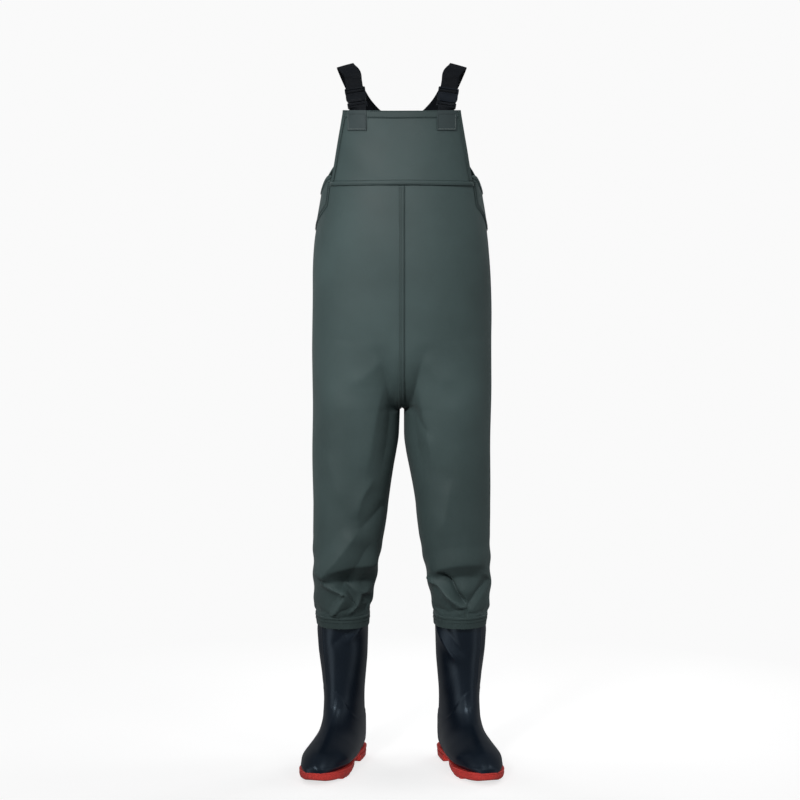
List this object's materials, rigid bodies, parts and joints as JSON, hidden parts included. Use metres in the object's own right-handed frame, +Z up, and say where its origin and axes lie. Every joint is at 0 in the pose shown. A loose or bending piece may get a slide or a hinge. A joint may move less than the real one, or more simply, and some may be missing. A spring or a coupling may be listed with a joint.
{
  "type": "chest waders",
  "caption": "Chest waders with a bib front, crossed webbing braces on side-release buckles, hinged legs and moulded rubber boots.",
  "frame": {"origin": "bottom centre of the object's box, on the ground between the boots", "axes": "+Z up, -Y towards the front of the waders, +X towards the wearer's left"},
  "size_m": [0.4338, 0.3423, 1.5044],
  "materials": {
    "coated_fabric": "matt woven face with a faint sheen, grey green",
    "hem_fabric": "matt, darker grey green",
    "webbing": "woven, black",
    "buckle_plastic": "moulded, satin black",
    "boot_rubber": "glossy moulded, black",
    "sole_rubber": "matt, red",
    "lining_knit": "knitted, light grey",
    "insole_foam": "felted foam, dark grey"
  },
  "bodies": {
    "torso": {"bib_panel": "coated_fabric", "bib_top_hem": "hem_fabric", "left_bib_side_hem": "hem_fabric", "right_bib_side_hem": "hem_fabric", "chest_seam_band": "hem_fabric", "centre_front_seam_tape": "hem_fabric", "centre_back_seam_tape": "hem_fabric", "crotch_gusset": "coated_fabric", "back_elastic_band": "webbing", "strap_cross_patch": "webbing", "left_front_panel": "coated_fabric", "right_front_panel": "coated_fabric", "left_back_panel": "coated_fabric", "right_back_panel": "coated_fabric", "left_side_patch": "coated_fabric", "right_side_patch": "coated_fabric", "left_strap_tab": "coated_fabric", "right_strap_tab": "coated_fabric", "left_back_strap_tab": "coated_fabric", "right_back_strap_tab": "coated_fabric", "left_shoulder_strap": "webbing", "right_shoulder_strap": "webbing", "left_buckle_base": "buckle_plastic", "right_buckle_base": "buckle_plastic"},
    "left_thigh": {"left_thigh_front_panel": "coated_fabric", "left_thigh_back_panel": "coated_fabric"},
    "left_lower_leg": {"left_shin_front_panel": "coated_fabric", "left_shin_back_panel": "coated_fabric", "left_cuff_band": "hem_fabric", "left_boot_upper": "boot_rubber", "left_boot_lining": "lining_knit", "left_heel_counter": "boot_rubber", "left_ankle_guard": "boot_rubber", "left_insole": "insole_foam", "left_outsole": "sole_rubber", "left_heel_block": "sole_rubber"},
    "left_clip": {"left_buckle_socket": "buckle_plastic"},
    "left_outer_prong": {"left_prong_outer": "buckle_plastic"},
    "left_inner_prong": {"left_prong_inner": "buckle_plastic"},
    "right_thigh": {"right_thigh_front_panel": "coated_fabric", "right_thigh_back_panel": "coated_fabric"},
    "right_lower_leg": {"right_shin_front_panel": "coated_fabric", "right_shin_back_panel": "coated_fabric", "right_cuff_band": "hem_fabric", "right_boot_upper": "boot_rubber", "right_boot_lining": "lining_knit", "right_heel_counter": "boot_rubber", "right_ankle_guard": "boot_rubber", "right_insole": "insole_foam", "right_outsole": "sole_rubber", "right_heel_block": "sole_rubber"},
    "right_clip": {"right_buckle_socket": "buckle_plastic"},
    "right_outer_prong": {"right_prong_outer": "buckle_plastic"},
    "right_inner_prong": {"right_prong_inner": "buckle_plastic"}
  },
  "joints": [
    {"name": "left_hip", "type": "hinge", "parent": "torso", "child": "left_thigh", "pos_m": [0.1, 0.0345, 0.9], "axis": [-1, 0, 0], "range_deg": [-15, 45]},
    {"name": "left_knee", "type": "hinge", "parent": "left_thigh", "child": "left_lower_leg", "pos_m": [0.12, 0.0345, 0.5], "axis": [1, 0, 0], "range_deg": [0, 55]},
    {"name": "left_clip_slide", "type": "slide", "parent": "torso", "child": "left_clip", "axis": [0.15, 0.5, 0.853], "range_m": [0, 0.03]},
    {"name": "left_outer_prong_flex", "type": "hinge", "parent": "torso", "child": "left_outer_prong", "pos_m": [0.10572, -0.05374, 1.41849], "axis": [0.0303, -0.8646, 0.5015], "range_deg": [0, 7], "stiffness_Nm_per_rad": 0.15},
    {"name": "left_inner_prong_flex", "type": "hinge", "parent": "torso", "child": "left_inner_prong", "pos_m": [0.08022, -0.05246, 1.42223], "axis": [0.0303, -0.8646, 0.5015], "range_deg": [-7, 0], "stiffness_Nm_per_rad": 0.15},
    {"name": "right_hip", "type": "hinge", "parent": "torso", "child": "right_thigh", "pos_m": [-0.1, 0.0345, 0.9], "axis": [-1, 0, 0], "range_deg": [-15, 45]},
    {"name": "right_knee", "type": "hinge", "parent": "right_thigh", "child": "right_lower_leg", "pos_m": [-0.12, 0.0345, 0.5], "axis": [1, 0, 0], "range_deg": [0, 55]},
    {"name": "right_clip_slide", "type": "slide", "parent": "torso", "child": "right_clip", "axis": [-0.15, 0.5, 0.853], "range_m": [0, 0.03]},
    {"name": "right_outer_prong_flex", "type": "hinge", "parent": "torso", "child": "right_outer_prong", "pos_m": [-0.10572, -0.05374, 1.41849], "axis": [-0.0303, -0.8646, 0.5015], "range_deg": [-7, 0], "stiffness_Nm_per_rad": 0.15},
    {"name": "right_inner_prong_flex", "type": "hinge", "parent": "torso", "child": "right_inner_prong", "pos_m": [-0.08022, -0.05246, 1.42223], "axis": [-0.0303, -0.8646, 0.5015], "range_deg": [0, 7], "stiffness_Nm_per_rad": 0.15}
  ],
  "couplings": [
    {"joint": "left_inner_prong_flex", "follows": "left_outer_prong_flex", "ratio": -1},
    {"joint": "right_inner_prong_flex", "follows": "right_outer_prong_flex", "ratio": -1}
  ]
}
